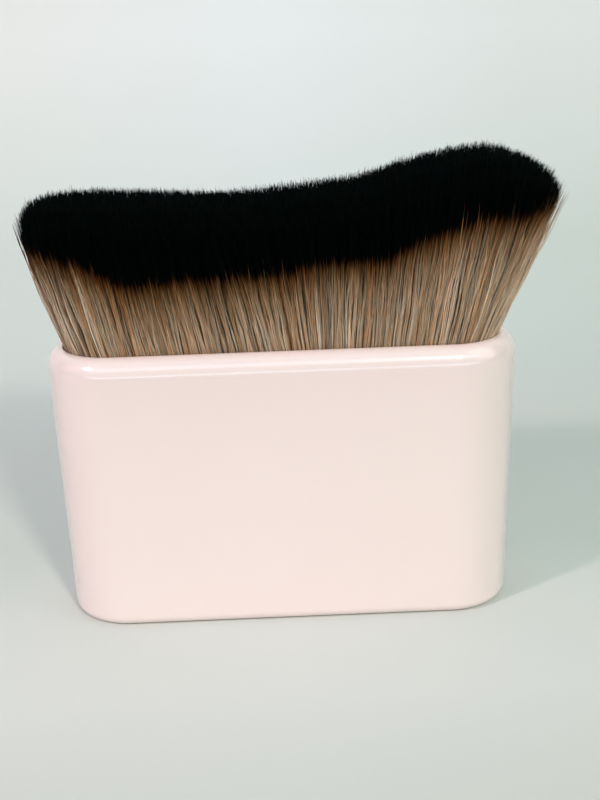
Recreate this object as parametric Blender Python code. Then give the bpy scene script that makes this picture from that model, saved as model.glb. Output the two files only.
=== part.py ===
# Body makeup brush: a glossy moulded block handle that holds a wide, wave-cut, dip-dyed head of bristles.
# Metres, +Z up, +X along the width, front towards -Y. The origin is the middle of the face it stands on.

import math

import bmesh
import bpy
from mathutils.geometry import delaunay_2d_cdt

# Sizes of the handle, which is one deep moulded cup with its mouth up
HANDLE_WIDTH = 0.092  # at the rim; the wall leans in below it
HANDLE_DEPTH = 0.029
HANDLE_HEIGHT = 0.056
HANDLE_CORNER = 0.0135  # plan radius of the four upright corners, at the rim
DRAFT_SHARE = 0.022  # how far the wall leans in for each length down from the rim
BASE_FILLET = 0.002
RIM_WALL = 0.0034
RIM_FILLET = 0.0029
MOUTH_FILLET = 0.0003
FLOOR_THICKNESS = 0.0034
FLOOR_FILLET = 0.0012
POCKET_DEPTH = 0.020  # from the rim down to the tops of the ribs
RIB_THICKNESS = 0.0016
RIB_REACH = 0.002  # how far a rib stands out of the wall at its top
RIB_ROOT = 0.0015  # how deep a rib runs into the wall and the floor
RIB_PLACE_SHARES = (-0.64, 0.0, 0.64)  # of the half width, along the front and the back wall

# Sizes of what the pocket holds
CLEARANCE = 0.0003  # between two pieces that touch
BEAD_WIDTH = 0.0013
BEAD_HEIGHT = 0.0012
FERRULE_WALL = 0.0005
FERRULE_DROP = 0.0025  # from the rim down to the ferrule's top edge
LIP_REACH = 0.001
LIP_THICKNESS = 0.0005
RESIN_HEIGHT = 0.007
RESIN_FILLET = 0.0004

# Sizes of the bristle head
HAIR_OUT = 0.0342  # from the rim up to the highest point of the cut
LEAN_LEFT = 0.0078  # how far the outermost strands lean past their roots, at their tips
LEAN_RIGHT = 0.0131
LEAN_DEPTH = 0.0060
LEAN_BIAS_SHARE = 0.2  # how much of the lean is kept for the ends of the head
BOW_LEFT_SHARE = 0.56  # how early the lean happens on the way up: none is a straight strand
BOW_RIGHT_SHARE = 0.06
BOW_DEPTH_SHARE = 0.45
EDGE_ROUND = 0.006  # radius that the cut is rounded over with, all round the head
STRAND_PITCH = 0.00185
ROW_PITCH = 0.0021
STRAND_RADIUS = 0.00074
STRAND_TIP_RADIUS = 0.00094
STRAND_MARGIN = 0.0001  # from an outer strand's foot to the edge of the root block

# Heights above the rim as shares of HAIR_OUT, at nine even places from the left end to the right end
CUT_SHARES = (0.845, 0.815, 0.80, 0.785, 0.805, 0.85, 0.925, 1.0, 0.87)
DYE_SHARES = (0.56, 0.54, 0.42, 0.425, 0.45, 0.49, 0.60, 0.70, 0.72)

# Counts
CORNER_STEPS = 12
FILLET_STEPS = 6
SMALL_STEPS = 3
BEAD_STEPS = 8
STRAND_SIDES = 3
SHARP_DEGREES = 40  # an edge bent by more than this stays sharp in a render

# Limits that keep a fillet inside its wall when a size is changed
CORNER_LIMIT_SHARE = 0.97
RIM_LIMIT_SHARE = 0.94
FOOT_LIMIT_SHARE = 0.45
SNAP_SHARE = 0.001  # of the clearance, within which two corners of a strand's foot would be one

# Sizes that follow from those above
corner_radius = min(HANDLE_CORNER, CORNER_LIMIT_SHARE * min(HANDLE_DEPTH, HANDLE_WIDTH) / 2)
rim_fillet = min(RIM_FILLET, RIM_LIMIT_SHARE * (RIM_WALL - MOUTH_FILLET))
rib_top = HANDLE_HEIGHT - POCKET_DEPTH
bead_bottom = rib_top + CLEARANCE
bead_top = bead_bottom + BEAD_HEIGHT
ferrule_inset = RIM_WALL + CLEARANCE
ferrule_inner_inset = ferrule_inset + FERRULE_WALL
ferrule_foot = bead_top + CLEARANCE
ferrule_top = HANDLE_HEIGHT - FERRULE_DROP
filling_inset = ferrule_inner_inset + CLEARANCE
resin_bottom = ferrule_foot + LIP_THICKNESS + CLEARANCE
resin_top = resin_bottom + RESIN_HEIGHT
resin_fillet = min(RESIN_FILLET, FOOT_LIMIT_SHARE * RESIN_HEIGHT)
roots_bottom = resin_top + CLEARANCE
roots_top = ferrule_top


def clear_scene():
    for thing in list(bpy.data.objects):
        bpy.data.objects.remove(thing, do_unlink=True)


def make_material(name, colour, roughness, metallic=0):
    made = bpy.data.materials.new(name)
    made.use_nodes = True
    shader = made.node_tree.nodes["Principled BSDF"]
    shader.inputs["Base Color"].default_value = (*colour, 1)
    shader.inputs["Roughness"].default_value = roughness
    shader.inputs["Metallic"].default_value = metallic
    made.diffuse_color = (*colour, 1)
    return made


def make_object(name, bm, materials, holder):
    bmesh.ops.recalc_face_normals(bm, faces=bm.faces)
    mesh = bpy.data.meshes.new(name)
    bm.to_mesh(mesh)
    bm.free()
    for material in materials:
        mesh.materials.append(material)
    made = bpy.data.objects.new(name, mesh)
    bpy.context.scene.collection.objects.link(made)
    made.parent = holder
    return made


def shade_round(piece):
    piece.data.shade_smooth()
    piece.data.set_sharp_from_angle(angle=math.radians(SHARP_DEGREES))


# Outlines and lofts
def outline(inset, height):
    """Half width, half depth and corner radius of the outline at this height, moved in by the inset."""
    lean = DRAFT_SHARE * (HANDLE_HEIGHT - height)
    return [size - inset - lean for size in (HANDLE_WIDTH / 2, HANDLE_DEPTH / 2, corner_radius)]


def outline_points(inset, height):
    """The outline as points, counterclockwise from above, with the same count at every inset and height."""
    half_width, half_depth, radius = outline(inset, height)
    points = []
    for quarter, (side_x, side_y) in enumerate(((1, 1), (-1, 1), (-1, -1), (1, -1))):
        for step in range(CORNER_STEPS + 1):
            angle = (quarter + step / CORNER_STEPS) * math.pi / 2
            x = side_x * (half_width - radius) + radius * math.cos(angle)
            y = side_y * (half_depth - radius) + radius * math.sin(angle)
            points.append((x, y, height))
    return points


def arc(inset, height, radius, start, end, steps):
    """Section points (inset, height) on an arc, whose ends are in quarter turns from inwards."""
    points = []
    for step in range(steps + 1):
        angle = (start + (end - start) * step / steps) * math.pi / 2
        points.append((inset + radius * math.cos(angle), height + radius * math.sin(angle)))
    return points


def loft(section, ring=False):
    """A section of (inset, height) points carried round the outline, as a closed ring or a capped block."""
    bm = bmesh.new()
    loops = [[bm.verts.new(p) for p in outline_points(inset, height)] for inset, height in section]
    pairs = list(zip(loops, loops[1:]))
    if ring:
        pairs.append((loops[-1], loops[0]))
    else:
        bm.faces.new(loops[0])
        bm.faces.new(loops[-1])
    for low, high in pairs:
        for i in range(len(low)):
            j = (i + 1) % len(low)
            bm.faces.new((low[i], low[j], high[j], high[i]))
    return bm


# Handle
def make_ribs():
    """Eight upright ribs that stop the ferrule, as blocks that run into the wall and the floor."""
    half_width, half_depth, _ = outline(RIM_WALL, rib_top)
    low = FLOOR_THICKNESS - RIB_ROOT
    reach = RIB_REACH + RIB_ROOT
    blocks = []
    for side in (-1, 1):
        middle = side * (half_depth - RIB_REACH + reach / 2)
        for share in RIB_PLACE_SHARES:
            blocks.append((share * half_width, middle, RIB_THICKNESS, reach))
        blocks.append((side * (half_width - RIB_REACH + reach / 2), 0, reach, RIB_THICKNESS))
    bm = bmesh.new()
    for x, y, size_x, size_y in blocks:
        cube = bmesh.ops.create_cube(bm, size=1)["verts"]
        bmesh.ops.scale(bm, vec=(size_x, size_y, rib_top - low), verts=cube)
        bmesh.ops.translate(bm, vec=(x, y, (rib_top + low) / 2), verts=cube)
    return bm


def make_handle(holder):
    section = arc(BASE_FILLET, BASE_FILLET, BASE_FILLET, 3, 2, FILLET_STEPS)
    section += arc(rim_fillet, HANDLE_HEIGHT - rim_fillet, rim_fillet, 2, 1, FILLET_STEPS)
    mouth = RIM_WALL - MOUTH_FILLET
    section += arc(mouth, HANDLE_HEIGHT - MOUTH_FILLET, MOUTH_FILLET, 1, 0, SMALL_STEPS)
    floor = FLOOR_THICKNESS + FLOOR_FILLET
    section += arc(RIM_WALL + FLOOR_FILLET, floor, FLOOR_FILLET, 2, 3, SMALL_STEPS)
    shell = make_object("handle_shell", loft(section), [gloss_pink], holder)
    ribs = make_object("rib_blocks", make_ribs(), [gloss_pink], holder)
    ribs.hide_render = True
    ribs.display_type = "WIRE"
    join = shell.modifiers.new("ribs", "BOOLEAN")
    join.operation = "UNION"
    join.solver = "EXACT"
    join.object = ribs
    shade_round(shell)


# Ferrule, with the glue under its foot and the resin in it
def make_glue_bead(holder):
    """A flattened ring of glue on the ribs' tops, under the ferrule's foot."""
    inset = ferrule_inset + BEAD_WIDTH / 2
    height = (bead_bottom + bead_top) / 2
    section = []
    for step in range(BEAD_STEPS):
        angle = 2 * math.pi * step / BEAD_STEPS
        across = BEAD_WIDTH / 2 * math.cos(angle)
        section.append((inset - across, height + BEAD_HEIGHT / 2 * math.sin(angle)))
    bead = make_object("glue_bead", loft(section, ring=True), [clear_glue], holder)
    shade_round(bead)


def make_ferrule(holder):
    """A thin pressed sleeve, open at both ends, with a rounded top edge and a lip turned in at its foot."""
    round_edge = FERRULE_WALL / 2
    section = [(ferrule_inset, ferrule_foot)]
    section += arc(ferrule_inset + round_edge, ferrule_top - round_edge, round_edge, 2, 0, SMALL_STEPS + 1)
    section.append((ferrule_inner_inset, ferrule_foot + LIP_THICKNESS))
    section.append((ferrule_inner_inset + LIP_REACH, ferrule_foot + LIP_THICKNESS))
    section.append((ferrule_inner_inset + LIP_REACH, ferrule_foot))
    ferrule = make_object("ferrule_sleeve", loft(section, ring=True), [bare_aluminium], holder)
    shade_round(ferrule)


def make_resin(holder):
    section = arc(filling_inset + resin_fillet, resin_bottom + resin_fillet, resin_fillet, 3, 2, SMALL_STEPS)
    section.append((filling_inset, resin_top))
    resin = make_object("resin_plug", loft(section), [amber_resin], holder)
    shade_round(resin)


# Bristles
def even_table(shares, place):
    """A smooth curve through evenly spaced values, for a place from -1 to 1 (Catmull-Rom)."""
    last = len(shares) - 1
    where = min(max((place + 1) / 2, 0), 1) * last
    i = min(int(where), last - 1)
    t = where - i
    slope = [(shares[min(k + 1, last)] - shares[max(k - 1, 0)]) / 2 for k in (i, i + 1)]
    rise = shares[i + 1] - shares[i]
    bend = 3 * rise - 2 * slope[0] - slope[1]
    twist = slope[0] + slope[1] - 2 * rise
    return shares[i] + t * (slope[0] + t * (bend + t * twist))


def along_outline(half_width, half_depth, radius, distance):
    """The point this far round a rounded rectangle, counterclockwise from its right-hand end."""
    for quarter, (side_x, side_y) in enumerate(((1, 1), (-1, 1), (-1, -1), (1, -1))):
        centre = (side_x * (half_width - radius), side_y * (half_depth - radius))
        quarter_length = radius * math.pi / 2
        if distance <= quarter_length:
            angle = (quarter + distance / quarter_length) * math.pi / 2
            return centre[0] + radius * math.cos(angle), centre[1] + radius * math.sin(angle)
        distance -= quarter_length
        straight = 2 * (half_depth - radius if quarter % 2 else half_width - radius)
        if distance <= straight:
            angle = (quarter + 1) * math.pi / 2
            x = centre[0] + radius * math.cos(angle) - distance * math.sin(angle)
            y = centre[1] + radius * math.sin(angle) + distance * math.cos(angle)
            return x, y
        distance -= straight
    return half_width, half_depth - radius


def strand_roots():
    """(x, y, distance from the edge) of each strand, in rings that follow the mouth round a middle row."""
    half_width, half_depth, radius = outline(filling_inset, roots_top)
    margin = STRAND_RADIUS + STRAND_MARGIN
    rings = max(1, round((half_depth - margin) / ROW_PITCH))
    step = (half_depth - margin) / rings
    roots = []
    for ring in range(rings):
        inset = margin + ring * step
        wide, deep, bend = half_width - inset, half_depth - inset, max(radius - inset, step / 2)
        length = 4 * (wide + deep - 2 * bend) + 2 * math.pi * bend
        count = round(length / STRAND_PITCH)
        for i in range(count):
            x, y = along_outline(wide, deep, bend, length * (i + ring % 2 / 2) / count)
            roots.append((x, y, inset))
    row = half_width - half_depth
    count = round(2 * row / STRAND_PITCH)
    for i in range(count + 1):
        roots.append((row * (2 * i / count - 1), 0, half_depth))
    return roots


def strand_loops(x, y, inset, index):
    """Three cross sections of one strand: its foot, the dye line and its tip, which lies on the cut."""
    half_width, half_depth, _ = outline(filling_inset, roots_top)
    across, through = x / half_width, y / half_depth
    lean = (LEAN_RIGHT if across > 0 else LEAN_LEFT) * across * abs(across) ** LEAN_BIAS_SHARE
    bow = BOW_RIGHT_SHARE if across > 0 else BOW_LEFT_SHARE
    spread = 1 + LEAN_DEPTH / half_depth
    short = max(EDGE_ROUND - inset * spread, 0)
    drop = EDGE_ROUND - math.sqrt(EDGE_ROUND**2 - short**2)
    cut = HANDLE_HEIGHT + HAIR_OUT * even_table(CUT_SHARES, across) - drop
    dye = min(HANDLE_HEIGHT + HAIR_OUT * even_table(DYE_SHARES, across), cut - STRAND_RADIUS)
    turn = index * math.pi * (3 - math.sqrt(5))
    loops = []
    for height in (roots_top, dye, cut):
        rise = (height - roots_top) / (cut - roots_top)
        middle_x = x + lean * (rise + bow * rise * (1 - rise))
        middle_y = y + LEAN_DEPTH * through * (rise + BOW_DEPTH_SHARE * rise * (1 - rise))
        radius = STRAND_RADIUS + (STRAND_TIP_RADIUS - STRAND_RADIUS) * rise
        angles = [turn + 2 * math.pi * side / STRAND_SIDES for side in range(STRAND_SIDES)]
        corners = [(radius * math.cos(angle), radius * math.sin(angle)) for angle in angles]
        loops.append([(middle_x + x_out, middle_y + y_out, height) for x_out, y_out in corners])
    return loops


def make_bristles(holder):
    """The glued root ends as one block, holed on top for each strand, and the strands that stand on it."""
    strands = [strand_loops(*root, index) for index, root in enumerate(strand_roots())]
    edge = outline_points(filling_inset, roots_top)
    flat = [(x, y) for x, y, _ in edge]
    regions = [list(range(len(edge)))]
    for foot, _, _ in strands:
        regions.append(list(range(len(flat), len(flat) + len(foot))))
        flat += [(x, y) for x, y, _ in foot]
    spots, _, faces, sources, _, regions_of = delaunay_2d_cdt(flat, [], regions, 1, SNAP_SHARE * CLEARANCE)
    bm = bmesh.new()
    top = [bm.verts.new((x, y, roots_top)) for x, y in spots]
    spot_of = {source: i for i, found in enumerate(sources) for source in found}
    for face, inside in zip(faces, regions_of):
        if max(inside) == 0:
            bm.faces.new([top[i] for i in face])
    bottom = [bm.verts.new(p) for p in outline_points(filling_inset, roots_bottom)]
    for i in range(len(edge)):
        j = (i + 1) % len(edge)
        bm.faces.new((bottom[i], bottom[j], top[spot_of[j]], top[spot_of[i]]))
    bm.faces.new(bottom)
    for region, (_, *upper) in zip(regions[1:], strands):
        loops = [[top[spot_of[i]] for i in region]]
        loops += [[bm.verts.new(p) for p in loop] for loop in upper]
        for level, (low, high) in enumerate(zip(loops, loops[1:])):
            for i in range(STRAND_SIDES):
                j = (i + 1) % STRAND_SIDES
                bm.faces.new((low[i], low[j], high[j], high[i])).material_index = level
        bm.faces.new(loops[-1]).material_index = 1
    make_object("bristle_bundle", bm, [brown_filament, black_filament], holder)
    print(len(strands), "strands")


clear_scene()
gloss_pink = make_material("gloss_pink_abs", (0.86, 0.70, 0.65), 0.12)
bare_aluminium = make_material("bare_aluminium", (0.80, 0.80, 0.81), 0.35, metallic=1)
clear_glue = make_material("clear_glue", (0.75, 0.72, 0.62), 0.30)
amber_resin = make_material("amber_epoxy_resin", (0.42, 0.24, 0.08), 0.25)
brown_filament = make_material("brown_nylon_filament", (0.28, 0.17, 0.10), 0.55)
black_filament = make_material("black_dyed_filament", (0.004, 0.005, 0.006), 0.60)
brush = bpy.data.objects.new("body_brush", None)
bpy.context.scene.collection.objects.link(brush)
make_handle(brush)
make_glue_bead(brush)
make_ferrule(brush)
make_resin(brush)
make_bristles(brush)
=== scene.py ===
# Looks of a wide body makeup brush: a glossy moulded block handle and a dip-dyed, wave-cut filament head.
# Lengths in the dictionaries are in millimetres; meshes are in metres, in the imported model's frame.
import math

import bpy
import numpy as np
from mathutils import Matrix, Vector


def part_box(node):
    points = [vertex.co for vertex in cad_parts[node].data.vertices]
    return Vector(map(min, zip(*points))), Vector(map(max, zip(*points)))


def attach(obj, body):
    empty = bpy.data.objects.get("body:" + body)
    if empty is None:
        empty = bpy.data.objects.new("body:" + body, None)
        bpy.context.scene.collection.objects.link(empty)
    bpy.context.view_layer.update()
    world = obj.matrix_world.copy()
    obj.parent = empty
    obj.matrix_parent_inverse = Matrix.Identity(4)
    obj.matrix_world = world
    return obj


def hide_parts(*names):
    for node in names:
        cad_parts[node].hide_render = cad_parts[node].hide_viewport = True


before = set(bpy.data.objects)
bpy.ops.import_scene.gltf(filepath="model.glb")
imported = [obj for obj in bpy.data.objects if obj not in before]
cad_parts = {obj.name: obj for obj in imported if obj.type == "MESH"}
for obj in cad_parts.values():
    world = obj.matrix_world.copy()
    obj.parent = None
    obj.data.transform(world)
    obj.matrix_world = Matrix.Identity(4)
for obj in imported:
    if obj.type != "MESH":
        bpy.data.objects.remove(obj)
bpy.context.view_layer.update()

mm = 0.001
scene = bpy.context.scene
scene.view_settings.view_transform = "Standard"


# An sRGB hex colour as linear red, green, blue and alpha, by the sRGB standard's own curve
def hexColour(code):
    parts = np.array([int(code[i:i + 2], 16) for i in (1, 3, 5)]) / 255
    linear = np.where(parts <= 0.04045, parts / 12.92, ((parts + 0.055) / 1.055) ** 2.4)
    return (*linear.tolist(), 1.0)


# Sets a node's inputs: to plain values, or to other nodes' outputs by a link
def setInputs(tree, node, inputs):
    for key, value in inputs.items():
        if isinstance(value, bpy.types.NodeSocket):
            tree.links.new(value, node.inputs[key])
        else:
            node.inputs[key].default_value = value


# Adds one node with its settings and its inputs
def addNode(tree, kind, settings=None, inputs=None):
    node = tree.nodes.new("ShaderNode" + kind)
    for key, value in (settings or {}).items():
        setattr(node, key, value)
    setInputs(tree, node, inputs or {})
    return node


# Sockets of a Mix node that mixes colours: its factor, its two colours and its result
mixFactor, mixFirst, mixSecond, mixResult = 0, 6, 7, 2

# What a noise's values mostly lie between, and its octaves: the more of them, the more broken its pattern
noiseLow, noiseHigh = 0.3, 0.7
octaves = {"even": 1.0, "soft": 2.0, "clouded": 3.0, "patchy": 4.0}


# A new material, with its node tree and its shader
def startMaterial(name):
    made = bpy.data.materials.new(name)
    made.use_nodes = True
    return made, made.node_tree, made.node_tree.nodes["Principled BSDF"]


# Puts stops of (place, hex colour) into a colour ramp
def setStops(ramp, stops):
    elements = ramp.color_ramp.elements
    while len(elements) < len(stops):
        elements.new(0.5)
    for element, (place, code) in zip(elements, stops):
        element.position = place
        element.color = hexColour(code)


# Stops given at lengths, as stops at shares of the range from the first to the last length
def evenStops(stops):
    first, last = stops[0][0], stops[-1][0]
    return [((length - first) / (last - first), code) for length, code in stops]


# A mesh object from points and faces: corners holds the faces' vertices one after another, and sizes how
# many each face has
def meshObject(name, points, corners, sizes, material, uv=None):
    mesh = bpy.data.meshes.new(name)
    mesh.vertices.add(len(points))
    mesh.vertices.foreach_set("co", points.astype(np.float32).ravel())
    mesh.loops.add(len(corners))
    mesh.loops.foreach_set("vertex_index", corners.astype(np.int32))
    mesh.polygons.add(len(sizes))
    starts = np.concatenate(([0], np.cumsum(sizes)[:-1]))
    mesh.polygons.foreach_set("loop_start", starts.astype(np.int32))
    mesh.update(calc_edges=True)
    if uv is not None:
        mesh.uv_layers.new(name="OFBake").data.foreach_set("uv", uv.astype(np.float32).ravel())
    mesh.materials.append(material)
    mesh.shade_smooth()
    made = bpy.data.objects.new(name, mesh)
    scene.collection.objects.link(made)
    return made


# Camera at the photograph's viewing angle: it looks along yaw and elevation, is rolled, and is moved across
# its own view
cameraPlace = {
    "lens": 54.0,
    "sensor": 36.0,
    "aim": (0.0, 0.0, 28.0),
    "distance": 245.0,
    "elevation": 19.05,
    "yaw": 1.0,
    "roll": -1.9,
    "right": 2.8,
    "up": 13.57,
}


# Its axes: forward from the two angles, and right and up turned about it by the roll
def placeCamera(place):
    yaw, low, roll = (math.radians(place[key]) for key in ("yaw", "elevation", "roll"))
    forward = Vector((math.sin(yaw) * math.cos(low), math.cos(yaw) * math.cos(low), -math.sin(low)))
    level = Vector((math.cos(yaw), -math.sin(yaw), 0))
    above = level.cross(forward)
    right = math.cos(roll) * level + math.sin(roll) * above
    up = math.cos(roll) * above - math.sin(roll) * level
    where = Vector(place["aim"]) - forward * place["distance"] + right * place["right"] + up * place["up"]
    data = bpy.data.cameras.new("camera")
    data.lens = place["lens"]
    data.sensor_width = place["sensor"]
    camera = bpy.data.objects.new("camera", data)
    scene.collection.objects.link(camera)
    turned = Matrix((right, up, -forward)).transposed().to_4x4()
    camera.matrix_world = Matrix.Translation(where * mm) @ turned
    scene.camera = camera


placeCamera(cameraPlace)
print("camera placed")


# Outline of the handle: corner arcs joined by straights, as four arrays that any size can scale. They hold
# each point's side in x and in y, plus or minus 1 at a corner and sliding from one to the other along a
# straight, and the cosine and sine of its turn round the corner. Points lie closer together towards a
# straight's two ends
def unitOutline(cornerSteps, straightSteps):
    centres = np.array(((1, 1), (-1, 1), (-1, -1), (1, -1)), float)
    turn = np.linspace(0, math.pi / 2, cornerSteps + 1)
    slide = (1 - np.cos(np.linspace(0, math.pi, straightSteps + 2)[1:-1])) / 2
    parts = []
    for quarter in range(4):
        here, after = centres[quarter], centres[(quarter + 1) % 4]
        angle = quarter * math.pi / 2 + turn
        parts.append(np.column_stack((np.tile(here, (len(turn), 1)), np.cos(angle), np.sin(angle))))
        middle = here + slide[:, None] * (after - here)
        end = np.tile((np.cos(angle[-1]), np.sin(angle[-1])), (len(slide), 1))
        parts.append(np.column_stack((middle, end)))
    return np.concatenate(parts).T


# Points of the outline moved in by each inset, at each height: the wall leans in by the draft below the
# rim, and the corner's radius shrinks by as much
def outlinePoints(sizes, insets, heights, unit):
    centreX, centreY, cosine, sine = unit
    moved = (insets + sizes["draft"] * (sizes["height"] - heights))[:, None]
    radius = sizes["corner"] - moved
    x = centreX * (sizes["width"] / 2 - moved - radius) + radius * cosine
    y = centreY * (sizes["depth"] / 2 - moved - radius) + radius * sine
    return np.stack((x, y, np.broadcast_to(heights[:, None], x.shape)), -1)


# Section points (inset, height) on an ellipse round a middle, from one quarter turn to another
def arc(inset, height, across, upright, start, end, steps):
    angle = np.linspace(start, end, steps + 1) * math.pi / 2
    return np.column_stack((inset + across * np.cos(angle), height + upright * np.sin(angle)))


# Section points on an upright wall, closer together towards its two ends
def wall(inset, low, high, steps):
    share = (1 - np.cos(np.linspace(0, math.pi, steps + 2)[1:-1])) / 2
    return np.column_stack((np.full(steps, inset), low + (high - low) * share))


# Faces of a grid of rows by columns whose columns close into a ring, capped by one face at each end
def cappedFaces(rows, columns):
    index = np.arange(rows * columns).reshape(rows, columns)
    after = np.roll(index, -1, axis=1)
    quads = np.stack((index[:-1], after[:-1], after[1:], index[1:]), -1).reshape(-1, 4)
    corners = np.concatenate((quads.ravel(), index[0][::-1], index[-1]))
    sizes = np.concatenate((np.full(len(quads), 4), (columns, columns)))
    return corners, sizes


handleLow, handleHigh = (Vector(corner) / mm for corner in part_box("handle_shell"))
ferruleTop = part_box("ferrule_sleeve")[1].z / mm
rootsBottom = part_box("bristle_bundle")[0].z / mm
handleSizes = {
    "width": handleHigh.x - handleLow.x,
    "depth": handleHigh.y - handleLow.y,
    "height": handleHigh.z,
    "corner": 13.5,
    "draft": 0.022,
    "baseFillet": 2.0,
    "rimFillet": 3.0,
    "rimRise": 4.1,  # the rim's rounding comes down the wall a little further than it goes in
    "mouthFillet": 0.3,
    "wall": 3.4,
    "floor": 3.4,
    "floorFillet": 1.2,
    "support": 0.4,  # width of the narrow faces that keep the flat walls flat beside a fillet
    "ribTop": 36.0,
    "ribThickness": 1.6,
    "ribReach": 2.0,  # how far a rib stands out of the wall
    "ribRoot": 1.5,  # how deep a rib runs into the wall and the floor
    "ribPlaces": (-0.64, 0.0, 0.64),  # shares of the half width, along each long wall
    "cornerSteps": 36,
    "straightSteps": 18,
    "filletSteps": 16,
    "wallSteps": 22,
    "sharpDegrees": 40.0,
}

# Injection-moulded ABS with a clear gloss: an even pale pink, its shine with a hint of orange peel and wear
glossPink = {
    "base": "#F5E0D8",
    "deep": "#F3DCD4",
    "mottleSize": 24.0,
    "peelSize": 1.6,
    "peelHeight": 0.0016,
    "smudgeSize": 9.0,
    "roughness": (0.12, 0.18),
    "ior": 1.6,
    "coat": 1.0,
    "coatIor": 1.6,
    "coatRoughness": 0.08,
}


# A wide noise mottles the colour, a smaller one dulls the shine in patches and a fine one dimples it
def makeGlossPink(look):
    made, tree, shader = startMaterial("moulded_gloss_pink_abs")
    place = addNode(tree, "TexCoord").outputs["Object"]
    mottle = addNode(tree, "TexNoise", inputs={
        "Vector": place,
        "Scale": 1 / (look["mottleSize"] * mm),
        "Detail": octaves["clouded"],
    })
    mixed = addNode(tree, "Mix", {"data_type": "RGBA"}, {
        mixFactor: mottle.outputs["Fac"],
        mixFirst: hexColour(look["base"]),
        mixSecond: hexColour(look["deep"]),
    })
    smudge = addNode(tree, "TexNoise", inputs={
        "Vector": place,
        "Scale": 1 / (look["smudgeSize"] * mm),
        "Detail": octaves["patchy"],
    })
    shine = addNode(tree, "MapRange", inputs={
        "Value": smudge.outputs["Fac"],
        "From Min": noiseLow,
        "From Max": noiseHigh,
        "To Min": look["roughness"][0],
        "To Max": look["roughness"][1],
    })
    peel = addNode(tree, "TexNoise", inputs={
        "Vector": place,
        "Scale": 1 / (look["peelSize"] * mm),
        "Detail": octaves["even"],
    })
    bump = addNode(tree, "Bump", inputs={
        "Height": peel.outputs["Fac"],
        "Distance": look["peelHeight"] * mm,
    })
    setInputs(tree, shader, {
        "Base Color": mixed.outputs[mixResult],
        "Roughness": shine.outputs["Result"],
        "Normal": bump.outputs["Normal"],
        "IOR": look["ior"],
        "Coat Weight": look["coat"],
        "Coat IOR": look["coatIor"],
        "Coat Roughness": look["coatRoughness"],
    })
    return made


# The section runs up the outside, over the rim and down the inside. Carried round the outline it makes the
# cup, and the ribs are joined to that
def makeHandle(sizes, material):
    base, rim, mouth, thick = (sizes[key] for key in ("baseFillet", "rimFillet", "mouthFillet", "wall"))
    top, rise, steps = sizes["height"], sizes["rimRise"], sizes["filletSteps"]
    foot, fillet = sizes["floor"], sizes["floorFillet"]
    section = np.concatenate((
        [(base + sizes["support"], 0.0)],
        arc(base, base, base, base, 3, 2, steps),
        wall(0.0, base, top - rise, sizes["wallSteps"]),
        arc(rim, top - rise, rim, rise, 2, 1, steps),
        arc(thick - mouth, top - mouth, mouth, mouth, 1, 0, steps // 2),
        wall(thick, foot + fillet, top - mouth, sizes["wallSteps"])[::-1],
        arc(thick + fillet, foot + fillet, fillet, fillet, 2, 3, steps // 2),
        [(thick + fillet + sizes["support"], foot)],
    ))
    unit = unitOutline(sizes["cornerSteps"], sizes["straightSteps"])
    points = outlinePoints(sizes, section[:, 0], section[:, 1], unit) * mm
    corners, counts = cappedFaces(*points.shape[:2])
    cup = meshObject("handle", points.reshape(-1, 3), corners, counts, material)
    ribs = makeRibs(sizes, material)
    join = cup.modifiers.new("ribs", "BOOLEAN")
    join.operation = "UNION"
    join.solver = "EXACT"
    join.object = ribs
    bpy.context.view_layer.update()
    joined = bpy.data.meshes.new_from_object(cup.evaluated_get(bpy.context.evaluated_depsgraph_get()))
    cup.modifiers.clear()
    cup.data = joined
    bpy.data.objects.remove(ribs)
    joined.set_sharp_from_angle(angle=math.radians(sizes["sharpDegrees"]))
    return cup


# Eight upright blocks inside the cup, which the glued foot of the ferrule stands on: three on each long
# wall and one at each end. A block's corners are its middle plus or minus half its extents, at two heights
def makeRibs(sizes, material):
    low, high = sizes["floor"] - sizes["ribRoot"], sizes["ribTop"]
    lean = sizes["draft"] * (sizes["height"] - high)
    halfWidth = sizes["width"] / 2 - sizes["wall"] - lean
    halfDepth = sizes["depth"] / 2 - sizes["wall"] - lean
    reach = sizes["ribReach"] + sizes["ribRoot"]
    thick = sizes["ribThickness"]
    middles, extents = [], []
    for side in (-1, 1):
        for share in sizes["ribPlaces"]:
            middles.append((share * halfWidth, side * (halfDepth - sizes["ribReach"] + reach / 2)))
            extents.append((thick, reach))
        middles.append((side * (halfWidth - sizes["ribReach"] + reach / 2), 0))
        extents.append((reach, thick))
    count = len(middles)
    ring = np.array(((-1, -1), (1, -1), (1, 1), (-1, 1))) / 2
    flat = np.array(middles)[:, None] + ring * np.array(extents)[:, None]
    heights = np.broadcast_to(np.reshape((low, high), (1, 2, 1, 1)), (count, 2, len(ring), 1))
    points = np.concatenate((np.repeat(flat[:, None], 2, 1), heights), -1).reshape(-1, 3)
    faces = np.array(((0, 1, 5, 4), (1, 2, 6, 5), (2, 3, 7, 6), (3, 0, 4, 7), (3, 2, 1, 0), (4, 5, 6, 7)))
    corners = faces[None] + 2 * len(ring) * np.arange(count)[:, None, None]
    return meshObject("ribs", points * mm, corners.ravel(), np.full(len(faces) * count, 4), material)


pinkAbs = makeGlossPink(glossPink)
handle = makeHandle(handleSizes, pinkAbs)
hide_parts("handle_shell")
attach(handle, "root")
print("handle made:", len(handle.data.polygons), "faces")


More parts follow.
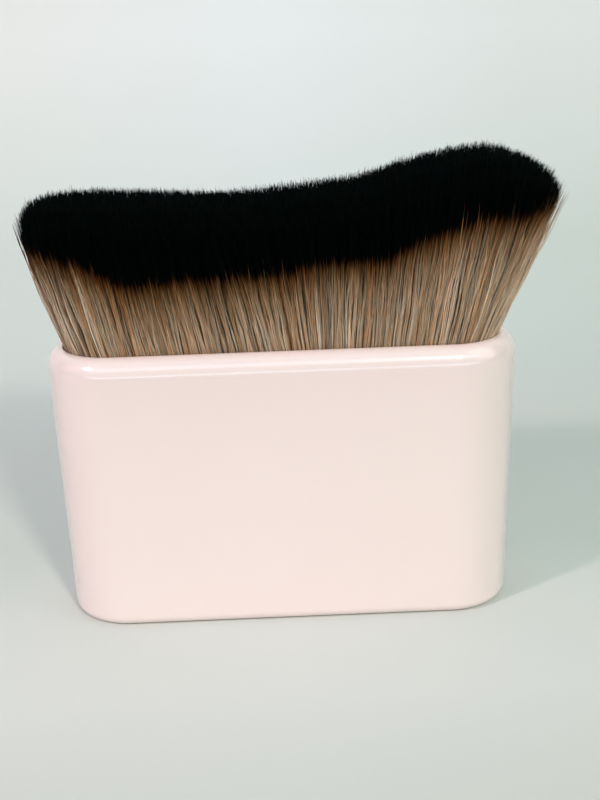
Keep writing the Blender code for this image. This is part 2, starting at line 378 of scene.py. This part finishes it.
# Head of filaments. A share of the cut or the dye is a share of the reach above the rim; the tables hold
# values at even places from the left end of a row to its right end
bristleHead = {
    "inset": 4.36,  # from the handle's outside to the outermost filament, at the ferrule's top edge
    "layers": {
        "coat": {
            "depths": (0.0, 1.1),  # the outermost filaments, which show along their whole length
            "pitch": 0.15,
            "diameter": 0.14,
            "levels": (0.0, 0.06, 0.13, 0.2, 0.28, 0.36, 0.44, 0.52, 0.6, 0.69, 0.78, 0.86, 0.93, 1.0),
        },
        "core": {
            "depths": (1.1, 50.0),  # the rest, of which only the tips show
            "pitch": 0.2,
            "diameter": 0.19,
            "levels": (0.0, 0.5, 0.87, 1.0),
        },
    },
    "shake": 0.42,  # share of the pitch by which a root strays from its grid
    "diameters": (0.75, 1.15),  # range of a filament's own diameter, over its layer's
    "tipShare": 0.2,  # a tip's diameter over its filament's, and where the taper starts
    "tipStart": 0.83,
    "reach": 34.2,
    "cutEnds": (-49.4, 54.7),
    "cutShares": (0.812, 0.815, 0.796, 0.779, 0.812, 0.847, 0.952, 0.997, 0.856),
    "dyeEnds": (-48.0, 54.0),
    "dyeShares": (
        0.59, 0.56, 0.525, 0.41, 0.395, 0.41, 0.405, 0.415, 0.42,
        0.463, 0.478, 0.48, 0.555, 0.635, 0.685, 0.69, 0.75, 0.82,
    ),
    "dyeLift": 0.35,  # mean dye line above the lowest black tips of the fringe
    "leanHeight": 31.4,  # height above the ferrule at which a filament has leaned out by its whole lean
    "leans": (-7.0, -4.5, -3.9, -4.5, -5.2, 0.5, 2.3, 4.7, 12.0),
    "bows": (0.4, 0.42, 0.3, 0.25, 0.2, 0.15, 0.1, 0.08, 0.1),
    "leanDepth": 5.9,
    "bowDepth": 0.45,
    "dyeAt": 0.56,  # share of that height at which the dye line lies
    "edgeRound": 6.0,  # radius by which the cut is rounded over along the sides, and at the two ends
    "endRound": 4.0,
    "endPower": 6,  # how late along the width the one radius turns into the other
    "edgeSpread": 1.55,  # how much further apart the filaments lie at the cut than at their roots
    "locks": ({"size": 0.68, "pull": 0.36, "lean": 0.5}, {"size": 1.9, "pull": 0.12, "lean": 0.4}),
    "lockPower": 0.7,  # under 1, a lock is drawn in most below its middle
    "toneShares": (0.45, 0.25, 0.31),  # of small locks, of large locks and of each filament in its tone
    "toneSpread": 1.2,
    # painted light: the right end's tones are lifted to make up for the light that end catches less
    "paintedLightLifts": (0.0, 0.0, 0.0, 0.0, 0.0, 0.0, 0.01, 0.06, 0.06),  # the right end is a little paler
    "toneEnds": (0.02, 0.98),
    "lengthJitter": 0.42,
    "leanJitter": 0.34,
    "leanPower": 1.5,  # a filament's own lean grows with its length to this power
    # crimp of each filament for itself, and of small locks together
    "waves": ({"height": 0.09, "length": 8.5}, {"height": 0.24, "length": 19.0}),
    "waveStart": 0.25,  # share of its length over which a filament's crimp grows to the full height
    "dyeJitter": 0.3,
    "dyeTail": 0.45,  # some filaments took up less dye, and their line lies a few tenths higher
    "dyeLock": 0.5,
    "lateShare": 0.012,  # share of filaments that stayed pale further up, and by how much
    "lateLift": (0.8, 3.2),
    "strayDepth": 0.28,
    "strayShare": 0.02,
    "strayEndShare": 0.22,
    "strayEnd": 0.9,  # share of the half width past which the ends' share holds
    "strayLean": (0.3, 1.6),
    "strayTone": (0.8, 0.96),
    "pieces": 10,
    "seed": 4,
}

# Extruded nylon filament, crimped, its tips dipped in black dye that has wicked down: satin, in many browns
dyedFilament = {
    "tones": (
        (0.0, "#4B3727"), (0.1, "#7E634B"), (0.22, "#AE8E6F"), (0.32, "#B9AB97"), (0.42, "#D1B495"),
        (0.5, "#CC9360"), (0.58, "#DDBE9D"), (0.66, "#BFB5A4"), (0.75, "#DEA372"), (0.86, "#EBD4B9"),
        (1.0, "#FAECD8"),
    ),
    # tint over the tones, by height above the dye line. The black's faint blue-green cast is a painted
    # sheen, the tips' reflection of the sky put into their colour
    "dye": (
        (-12.6, "#FFFFFF"), (-8.4, "#EAE2DD"), (-6.0, "#D5CABE"), (-4.8, "#CABCAB"), (-3.6, "#B5A28D"),
        (-2.4, "#9C8669"), (-1.2, "#7A5D41"), (-0.4, "#513820"), (0.1, "#1F170E"), (0.7, "#000A0B"),
    ),
    "mottle": (0.76, 1.2),  # range of the shading along a filament
    "mottleWidth": 0.03,  # share of the tones over which the mottling changes
    "mottleLength": 3.2,
    "roughness": (0.4, 0.6),  # brown part, black tips
    "dullFrom": 0.6,  # share of the fade from brown to black at which the shine starts to dull
    "specular": 0.03,
    "mapHeight": 60.0,  # length along a filament that the map's whole height holds
    "mapLine": 0.7,  # height of the dye line on the map
    "mapWidth": 0.012,  # half width on the map of one filament's faces
}


# Smooth curve through evenly spaced values, read at shares from 0 to 1 of their row. Between two values it
# is the cubic whose slope at each is half the difference of that value's two neighbours, an end being its
# own neighbour
def evenCurve(values, share):
    values = np.array(values)
    last = len(values) - 1
    where = np.clip(share, 0, 1) * last
    i = np.minimum(where.astype(int), last - 1)
    t = where - i
    slope = np.gradient(values)
    slope[0], slope[-1] = slope[0] / 2, slope[-1] / 2
    rise = values[i + 1] - values[i]
    bend = 3 * rise - 2 * slope[i] - slope[i + 1]
    twist = slope[i] + slope[i + 1] - 2 * rise
    return values[i] + t * (slope[i] + t * (bend + t * twist))


# Share of the way from one end to the other
def shareBetween(value, ends):
    return (value - ends[0]) / (ends[1] - ends[0])


# Depth of points inside a rounded rectangle, positive inside
def depthInside(x, y, halfWidth, halfDepth, corner):
    overX, overY = np.abs(x) - (halfWidth - corner), np.abs(y) - (halfDepth - corner)
    outside = np.hypot(np.maximum(overX, 0), np.maximum(overY, 0))
    return corner - outside - np.minimum(np.maximum(overX, overY), 0)


# Large factors that set neighbouring cells far apart, and salts that give one cell a different value for
# each use
cellFactors = {"i": 127.1, "j": 311.7, "salt": 74.7, "sine": 43758.5453}
salts = {"midX": 1, "midY": 2, "dye": 3, "tone": 4, "leanX": 5, "leanY": 6, "wavePhase": 7, "waveTurn": 8}
saltStep = 10  # added to the salt for the large locks


# A random value from 0 to 1 for each whole-numbered cell: the fraction of a large multiple of the sine of
# its two numbers and a salt, each times its factor
def cellNoise(i, j, salt):
    angle = i * cellFactors["i"] + j * cellFactors["j"] + salt * cellFactors["salt"]
    mixed = np.sin(angle) * cellFactors["sine"]
    return mixed - np.floor(mixed)


# For each point, the middle of its nearest lock on a shaken grid, and that lock's cell
def nearestLock(x, y, size):
    baseI, baseJ = np.floor(x / size), np.floor(y / size)
    best = np.full(len(x), np.inf)
    found = np.zeros((4, len(x)))
    for stepI in (-1, 0, 1):
        for stepJ in (-1, 0, 1):
            i, j = baseI + stepI, baseJ + stepJ
            midX = (i + cellNoise(i, j, salts["midX"])) * size
            midY = (j + cellNoise(i, j, salts["midY"])) * size
            far = (x - midX) ** 2 + (y - midY) ** 2
            closer = far < best
            best = np.where(closer, far, best)
            found = np.where(closer, (midX, midY, i, j), found)
    return found


# Tubes of three sides along paths: rings lie level round each path point, and both ends are closed. On the
# map, a tube's tone is its place across, and its height over the dye line is its place up
def tubeMesh(name, paths, radii, turns, tones, runs, width, material):
    count, levels = paths.shape[:2]
    angle = turns[:, None] + np.arange(3) * 2 * math.pi / 3
    ring = np.stack((np.cos(angle), np.sin(angle), np.zeros_like(angle)), -1)
    points = paths[:, :, None] + radii[:, :, None, None] * ring[:, None]
    index = np.arange(count * levels * 3).reshape(count, levels, 3)
    after = np.roll(index, -1, axis=2)
    quads = np.stack((index[:, :-1], after[:, :-1], after[:, 1:], index[:, 1:]), -1)
    ends = np.stack((index[:, 0, ::-1], index[:, -1]), 1)
    u = np.broadcast_to(tones[:, None, None, None] + np.array((-1, 1, 1, -1)) * width, quads.shape)
    rise = np.stack((runs[:, :-1], runs[:, :-1], runs[:, 1:], runs[:, 1:]), -1)
    v = np.broadcast_to(rise[:, :, None], quads.shape)
    endU = np.broadcast_to(tones[:, None, None] + np.array((-1, 0, 1)) * width, ends.shape)
    endV = runs[:, (0, -1)][:, :, None] + np.array((0, 1, 0)) * width
    uv = np.concatenate((
        np.stack((u, v), -1).reshape(-1, 2),
        np.stack((endU, endV), -1).reshape(-1, 2),
    ))
    corners = np.concatenate((quads.ravel(), ends.ravel()))
    sizes = np.concatenate((np.full(quads.size // 4, 4), np.full(ends.size // 3, 3)))
    return meshObject(name, points.reshape(-1, 3) * mm, corners, sizes, material, uv)


# Roots of one layer, on a shaken triangular grid inside the ferrule's mouth. Each has its depth from the
# edge, and its place across and through as shares of the half width and the half depth
def hairRoots(head, layer, dice):
    lean = handleSizes["draft"] * (handleSizes["height"] - ferruleTop)
    outer = (handleSizes["width"] / 2, handleSizes["depth"] / 2, handleSizes["corner"])
    halfWidth, halfDepth, corner = (size - head["inset"] - lean for size in outer)
    pitch = layer["pitch"]
    rowPitch = pitch * math.sqrt(3) / 2
    columns = np.arange(-halfWidth, halfWidth, pitch)
    rows = np.arange(-halfDepth, halfDepth, rowPitch)
    gridX, gridY = np.meshgrid(columns, rows)
    gridX = gridX + (np.arange(len(rows)) % 2 * pitch / 2)[:, None]
    x = gridX.ravel() + dice.uniform(-1, 1, gridX.size) * head["shake"] * pitch
    y = gridY.ravel() + dice.uniform(-1, 1, gridX.size) * head["shake"] * pitch
    depth = depthInside(x, y, halfWidth, halfDepth, corner)
    keep = (depth > layer["depths"][0]) & (depth <= layer["depths"][1])
    x, y, depth = x[keep], y[keep], depth[keep]
    return {"x": x, "y": y, "depth": depth, "across": x / halfWidth, "through": y / halfDepth}


# What grows from each root: where it leans, where it is cut and dyed, its tone and its own small
# differences. Near the head's edge the cut drops as a quarter circle does
def growHair(head, layer, dice):
    hair = hairRoots(head, layer, dice)
    x, y, depth, across, through = (hair[key] for key in ("x", "y", "depth", "across", "through"))
    count = len(x)
    share = (across + 1) / 2
    hair["lean"] = evenCurve(head["leans"], share)
    hair["bow"] = evenCurve(head["bows"], share)
    tipX = x + hair["lean"]
    dyeX = x + hair["lean"] * (head["dyeAt"] + hair["bow"] * head["dyeAt"] * (1 - head["dyeAt"]))
    edge = head["edgeRound"] + (head["endRound"] - head["edgeRound"]) * across ** head["endPower"]
    short = np.maximum(edge - depth * head["edgeSpread"], 0)
    drop = edge - np.sqrt(edge ** 2 - short ** 2)
    rim = handleSizes["height"]
    cut = rim + head["reach"] * evenCurve(head["cutShares"], shareBetween(tipX, head["cutEnds"])) - drop
    hair["cut"] = cut + dice.normal(0, head["lengthJitter"], count)
    dye = rim + head["reach"] * evenCurve(head["dyeShares"], shareBetween(dyeX, head["dyeEnds"]))
    dye += head["dyeLift"]
    dye += dice.normal(0, head["dyeJitter"], count) + dice.exponential(head["dyeTail"], count)
    tone = dice.uniform(0, 1, count) * head["toneShares"][2]
    tipLean = [dice.normal(0, head["leanJitter"], count) for axis in range(2)]
    hair["pull"] = [np.zeros(count), np.zeros(count)]
    uses = ("dye", "tone", "leanX", "leanY")
    for order, lock in enumerate(head["locks"]):
        midX, midY, i, j = nearestLock(x, y, lock["size"])
        chance = {use: cellNoise(i, j, salts[use] + saltStep * order) for use in uses}
        tone += head["toneShares"][order] * chance["tone"]
        hair["pull"][0] += lock["pull"] * (midX - x)
        hair["pull"][1] += lock["pull"] * (midY - y)
        tipLean[0] += lock["lean"] * (2 * chance["leanX"] - 1)
        tipLean[1] += lock["lean"] * (2 * chance["leanY"] - 1)
        dye += head["dyeLock"] * (chance["dye"] - 0.5)
    # The lift at the right end is painted light
    tone = 0.5 + (tone - 0.5) * head["toneSpread"] + evenCurve(head["paintedLightLifts"], share)
    strayChance = np.where(np.abs(across) > head["strayEnd"], head["strayEndShare"], head["strayShare"])
    stray = (depth < head["strayDepth"]) & (dice.uniform(0, 1, count) < strayChance)
    out = np.where(stray, dice.uniform(*head["strayLean"], count), 0)
    tone = np.where(stray, dice.uniform(*head["strayTone"], count), tone)
    hair["tone"] = np.clip(tone, *head["toneEnds"])
    hair["tipLeanX"] = tipLean[0] + out * across
    hair["tipLeanY"] = tipLean[1] + out * through
    i, j = nearestLock(x, y, head["locks"][0]["size"])[2:]
    hair["wavePhases"] = [dice.uniform(0, 1, count), cellNoise(i, j, salts["wavePhase"])]
    lockTurn = cellNoise(i, j, salts["waveTurn"]) * 2 * math.pi
    hair["waveTurns"] = [dice.uniform(0, 2 * math.pi, count), lockTurn]
    hair["turn"] = dice.uniform(0, 2 * math.pi, count)
    hair["radius"] = layer["diameter"] / 2 * dice.uniform(*head["diameters"], count)
    late = dice.uniform(0, 1, count) < head["lateShare"]
    hair["dye"] = dye + np.where(late, dice.uniform(*head["lateLift"], count), 0)
    return hair


# Paths: at share h of the lean's height a filament has leaned h + bow h (1 - h) of the way. At share t of
# its own length its lock draws it in by the sine of half a turn times a power of t, its own lean grows with
# another power of t, and sine waves crimp it
def hairPaths(head, hair, levels, pick):
    t = np.array(levels)[None, :]
    column = {key: np.asarray(values)[..., pick][..., None] for key, values in hair.items()}
    gathered = np.sin(math.pi * t ** head["lockPower"])
    leaned = t ** head["leanPower"]
    rise = (column["cut"] - ferruleTop) * t
    h = rise / head["leanHeight"]
    side = column["x"] + column["lean"] * (h + column["bow"] * h * (1 - h))
    side = side + column["pull"][0] * gathered + column["tipLeanX"] * leaned
    front = column["y"] + head["leanDepth"] * column["through"] * (h + head["bowDepth"] * h * (1 - h))
    front = front + column["pull"][1] * gathered + column["tipLeanY"] * leaned
    for wave, phase, turn in zip(head["waves"], column["wavePhases"], column["waveTurns"]):
        crimp = wave["height"] * np.sin(2 * math.pi * (rise / wave["length"] + phase))
        crimp = crimp * np.minimum(t / head["waveStart"], 1)
        side = side + crimp * np.cos(turn)
        front = front + crimp * np.sin(turn)
    foot = np.stack((hair["x"][pick], hair["y"][pick], np.full(len(pick), rootsBottom)), -1)[:, None]
    return np.concatenate((foot, np.stack((side, front, ferruleTop + rise), -1)), 1)


# Each layer is sorted from left to right and split into pieces. A filament keeps its radius up to where its
# tip starts, and then thins evenly
def makeBristles(head, look, material):
    total, faces = 0, 0
    for number, (kind, layer) in enumerate(head["layers"].items()):
        dice = np.random.default_rng(head["seed"] + number)
        hair = growHair(head, layer, dice)
        levels = np.array(layer["levels"])
        tapered = np.maximum((levels - head["tipStart"]) / (1 - head["tipStart"]), 0)
        taper = np.concatenate(([1.0], 1 - (1 - head["tipShare"]) * tapered))
        order = np.argsort(hair["across"], kind="stable")
        for part, pick in enumerate(np.array_split(order, head["pieces"]), 1):
            paths = hairPaths(head, hair, levels, pick)
            radii = hair["radius"][pick][:, None] * taper
            runs = look["mapLine"] + (paths[:, :, 2] - hair["dye"][pick][:, None]) / look["mapHeight"]
            piece = tubeMesh(
                f"bristles_{kind}_{part}", paths, radii, hair["turn"][pick], hair["tone"][pick], runs,
                look["mapWidth"], material,
            )
            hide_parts("bristle_bundle")
            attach(piece, "root")
            faces += len(piece.data.polygons)
        total += len(order)
    print("bristles made:", total, "filaments,", faces, "faces")


# The tone comes from the map's place across and the dye from its place up; a noise stretched along the
# filament mottles it
def makeDyedFilament(look):
    made, tree, shader = startMaterial("dip_dyed_nylon_filament")
    place = addNode(tree, "UVMap", {"uv_map": "OFBake"})
    parts = addNode(tree, "SeparateXYZ", inputs={"Vector": place.outputs["UV"]})
    tone = addNode(tree, "ValToRGB", inputs={"Fac": parts.outputs["X"]})
    setStops(tone, look["tones"])
    low, high = (look["mapLine"] + look["dye"][end][0] / look["mapHeight"] for end in (0, -1))
    fade = addNode(tree, "MapRange", inputs={
        "Value": parts.outputs["Y"],
        "From Min": low,
        "From Max": high,
    })
    dye = addNode(tree, "ValToRGB", inputs={"Fac": fade.outputs["Result"]})
    setStops(dye, evenStops(look["dye"]))
    dyed = addNode(tree, "Mix", {"data_type": "RGBA", "blend_type": "MULTIPLY"}, {
        mixFactor: 1.0,
        mixFirst: tone.outputs["Color"],
        mixSecond: dye.outputs["Color"],
    })
    stretch = (1 / look["mottleWidth"], look["mapHeight"] / look["mottleLength"], 1.0)
    spot = addNode(tree, "VectorMath", {"operation": "MULTIPLY"}, {0: place.outputs["UV"], 1: stretch})
    mottle = addNode(tree, "TexNoise", inputs={
        "Vector": spot.outputs["Vector"],
        "Scale": 1.0,
        "Detail": octaves["soft"],
    })
    shade = addNode(tree, "MapRange", inputs={
        "Value": mottle.outputs["Fac"],
        "From Min": noiseLow,
        "From Max": noiseHigh,
        "To Min": look["mottle"][0],
        "To Max": look["mottle"][1],
    })
    varied = addNode(tree, "VectorMath", {"operation": "SCALE"}, {
        0: dyed.outputs[mixResult],
        "Scale": shade.outputs["Result"],
    })
    dull = addNode(tree, "MapRange", inputs={
        "Value": fade.outputs["Result"],
        "From Min": look["dullFrom"],
        "From Max": 1.0,
        "To Min": look["roughness"][0],
        "To Max": look["roughness"][1],
    })
    setInputs(tree, shader, {
        "Base Color": varied.outputs["Vector"],
        "Roughness": dull.outputs["Result"],
        "Specular IOR Level": look["specular"],
    })
    return made


filament = makeDyedFilament(dyedFilament)
makeBristles(bristleHead, dyedFilament, filament)


# Stage: a pale sheet that lies flat under the brush and bends up behind it
stageSizes = {
    "halfWidth": 1500.0,
    "front": -900.0,
    "bendStart": 150.0,
    "bendRadius": 160.0,
    "top": 900.0,
    "steps": 48,
}

# Matt uncoated paper whose colour holds painted light and shade, by the distance along the sheet from the
# brush: dark far in front, out of view, as painted shade that the glossy handle reflects, a little darker
# just behind the brush and paler up the backdrop. A painted side light across it makes the middle a little
# brighter than the two sides
paperLook = {
    "tones": (
        (-260.0, "#666768"), (-170.0, "#7D8081"), (-100.0, "#C5C6BB"), (-40.0, "#D9D9D1"),
        (20.0, "#D4D7CF"), (80.0, "#D6D7D0"), (150.0, "#DDE0D9"), (260.0, "#DADED6"), (400.0, "#F1F0EB"),
    ),
    # painted side light: the middle of the sheet a little brighter than either side
    "paintedSideLights": ("#FCFAF8", "#FDFDFF", "#F5F5F3"),
    "paintedSideLightReach": 110.0,  # half the width across which the first tint turns into the last
    "roughness": 0.9,
    "specular": 0.2,
}


# Place along the sheet is depth plus height, which grows steadily over the flat, the bend and the upright
def makePaper(look):
    made, tree, shader = startMaterial("matt_backdrop_paper_painted_shade")
    place = addNode(tree, "SeparateXYZ", inputs={"Vector": addNode(tree, "TexCoord").outputs["Object"]})
    along = addNode(tree, "Math", {"operation": "ADD"}, {0: place.outputs["Y"], 1: place.outputs["Z"]})
    share = addNode(tree, "MapRange", inputs={
        "Value": along.outputs["Value"],
        "From Min": look["tones"][0][0] * mm,
        "From Max": look["tones"][-1][0] * mm,
    })
    # Painted light and shade along the sheet, dark far in front as painted shade
    tone = addNode(tree, "ValToRGB", inputs={"Fac": share.outputs["Result"]})
    setStops(tone, evenStops(look["tones"]))
    across = addNode(tree, "MapRange", inputs={
        "Value": place.outputs["X"],
        "From Min": -look["paintedSideLightReach"] * mm,
        "From Max": look["paintedSideLightReach"] * mm,
    })
    # Painted side light across the sheet, brighter in the middle than at the sides
    paintedSideLight = addNode(tree, "ValToRGB", inputs={"Fac": across.outputs["Result"]})
    setStops(paintedSideLight, evenStops(list(enumerate(look["paintedSideLights"]))))
    paperWithPaintedLight = addNode(tree, "Mix", {"data_type": "RGBA", "blend_type": "MULTIPLY"}, {
        mixFactor: 1.0,
        mixFirst: tone.outputs["Color"],
        mixSecond: paintedSideLight.outputs["Color"],
    })
    setInputs(tree, shader, {
        "Base Color": paperWithPaintedLight.outputs[mixResult],
        "Roughness": look["roughness"],
        "Specular IOR Level": look["specular"],
    })
    return made


# The section, which is flat, a quarter circle and then upright, runs straight across the sheet's width
def makeStage(sizes, material):
    angle = np.linspace(0, math.pi / 2, sizes["steps"])
    bend = np.column_stack((
        sizes["bendStart"] + sizes["bendRadius"] * np.sin(angle),
        sizes["bendRadius"] * (1 - np.cos(angle)),
    ))
    section = np.concatenate(([(sizes["front"], 0)], bend, [(bend[-1, 0], sizes["top"])]))
    sides = np.array((-1, 1)) * sizes["halfWidth"]
    x, y = np.meshgrid(sides, section[:, 0])
    z = np.broadcast_to(section[:, 1:], x.shape)
    points = np.stack((x, y, z), -1).reshape(-1, 3)
    index = np.arange(len(points)).reshape(-1, 2)
    quads = np.stack((index[:-1, 0], index[:-1, 1], index[1:, 1], index[1:, 0]), -1)
    sheet = meshObject("backdrop", points * mm, quads.ravel(), np.full(len(quads), 4), material)


makeStage(stageSizes, makePaper(paperLook))
print("stage made")


# Aluminium sheet, deep drawn and left bare: pale grey metal, its satin shine streaked upwards by the die
drawnAluminium = {
    "colour": "#E6E6E8",
    "streakWidth": 0.25,
    "streakLength": 12.0,
    "roughness": (0.28, 0.42),
}


# A noise stretched upwards streaks the roughness
def makeDrawnAluminium(look):
    made, tree, shader = startMaterial("deep_drawn_aluminium")
    place = addNode(tree, "TexCoord").outputs["Object"]
    stretch = [1 / (size * mm) for size in (look["streakWidth"], look["streakWidth"], look["streakLength"])]
    drawn = addNode(tree, "VectorMath", {"operation": "MULTIPLY"}, {0: place, 1: stretch})
    streaks = addNode(tree, "TexNoise", inputs={
        "Vector": drawn.outputs["Vector"],
        "Scale": 1.0,
        "Detail": octaves["clouded"],
    })
    satin = addNode(tree, "MapRange", inputs={
        "Value": streaks.outputs["Fac"],
        "To Min": look["roughness"][0],
        "To Max": look["roughness"][1],
    })
    setInputs(tree, shader, {
        "Base Color": hexColour(look["colour"]),
        "Roughness": satin.outputs["Result"],
        "Metallic": 1.0,
    })
    return made


# Epoxy poured round the root ends and cured: glossy amber, clouded where it wicked in among them
pouredEpoxy = {"clear": "#B0873F", "cloudy": "#8C662B", "cloudSize": 3.5, "roughness": 0.22}

# Cured clear adhesive: a glossy, faintly yellow bead, clouded by fine air bubbles
clearAdhesive = {"clear": "#DDD9CA", "cloudy": "#EFEDE6", "cloudSize": 1.2, "roughness": 0.3}


# A noise clouds the colour between the clear and the cloudy one
def makeCured(name, look):
    made, tree, shader = startMaterial(name)
    place = addNode(tree, "TexCoord").outputs["Object"]
    clouds = addNode(tree, "TexNoise", inputs={
        "Vector": place,
        "Scale": 1 / (look["cloudSize"] * mm),
        "Detail": octaves["clouded"],
    })
    mixed = addNode(tree, "Mix", {"data_type": "RGBA"}, {
        mixFactor: clouds.outputs["Fac"],
        mixFirst: hexColour(look["clear"]),
        mixSecond: hexColour(look["cloudy"]),
    })
    setInputs(tree, shader, {"Base Color": mixed.outputs[mixResult], "Roughness": look["roughness"]})
    return made


# The pieces inside the handle keep their solids, with these finishes
innerFinishes = {
    "ferrule_sleeve": makeDrawnAluminium(drawnAluminium),
    "resin_plug": makeCured("poured_amber_epoxy", pouredEpoxy),
    "glue_bead": makeCured("cured_clear_adhesive", clearAdhesive),
}
for node, finish in innerFinishes.items():
    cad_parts[node].data.materials.clear()
    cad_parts[node].data.materials.append(finish)
print("inner pieces finished:", len(innerFinishes))


# Lamps: a wide soft ceiling, a soft bank in front above the camera, a thin low strip, which draws the
# bright line along the rim, a coloured card at each side, and two small bright ones, whose shadows fall
# behind the brush to the right and to the left. Each has its place, its width and height, and its power in
# watts. The room adds a faint even light of its own
studio = {
    "lamps": {
        "ceiling": {
            "place": (0.0, -130.0, 560.0), "size": (1300.0, 900.0), "power": 1.3, "colour": "#A0EAFF",
        },
        "bank": {
            "place": (0.0, -780.0, 600.0), "size": (1900.0, 300.0), "power": 1.92, "colour": "#C6EEFF",
        },
        "strip": {
            "place": (0.0, -640.0, 62.0), "size": (1500.0, 50.0), "power": 0.56, "colour": "#C8EAFF",
        },
        "leftCard": {
            "place": (-560.0, -120.0, 260.0), "size": (220.0, 320.0), "power": 0.14, "colour": "#FFAFC6",
        },
        "rightCard": {
            "place": (600.0, -260.0, 450.0), "size": (460.0, 720.0), "power": 1.15, "colour": "#FFF0EB",
        },
        "leftKey": {
            "place": (-494.0, -379.0, 490.0), "size": (66.0, 66.0), "power": 2.32, "colour": "#FFE3EF",
        },
        "rightKey": {
            "place": (187.0, -546.0, 440.0), "size": (66.0, 66.0), "power": 1.85, "colour": "#FFFCEF",
        },
    },
    "aim": (0.0, 0.0, 45.0),
    "roomColour": "#EDFFFF",
    "roomStrength": 0.2,
}


# Each lamp is a rectangle that faces the aim
def makeLamps(light):
    for name, row in light["lamps"].items():
        data = bpy.data.lights.new(name, "AREA")
        data.shape = "RECTANGLE"
        data.size, data.size_y = (side * mm for side in row["size"])
        data.energy = row["power"]
        data.color = hexColour(row["colour"])[:3]
        lamp = bpy.data.objects.new(name, data)
        scene.collection.objects.link(lamp)
        lamp.location = Vector(row["place"]) * mm
        towards = Vector(light["aim"]) - Vector(row["place"])
        lamp.rotation_euler = towards.to_track_quat("-Z", "Y").to_euler()
    room = bpy.data.worlds.new("room")
    scene.world = room
    room.use_nodes = True
    background = room.node_tree.nodes["Background"]
    background.inputs["Color"].default_value = hexColour(light["roomColour"])
    background.inputs["Strength"].default_value = light["roomStrength"]


makeLamps(studio)
print("lamps placed")

bpy.context.view_layer.update()
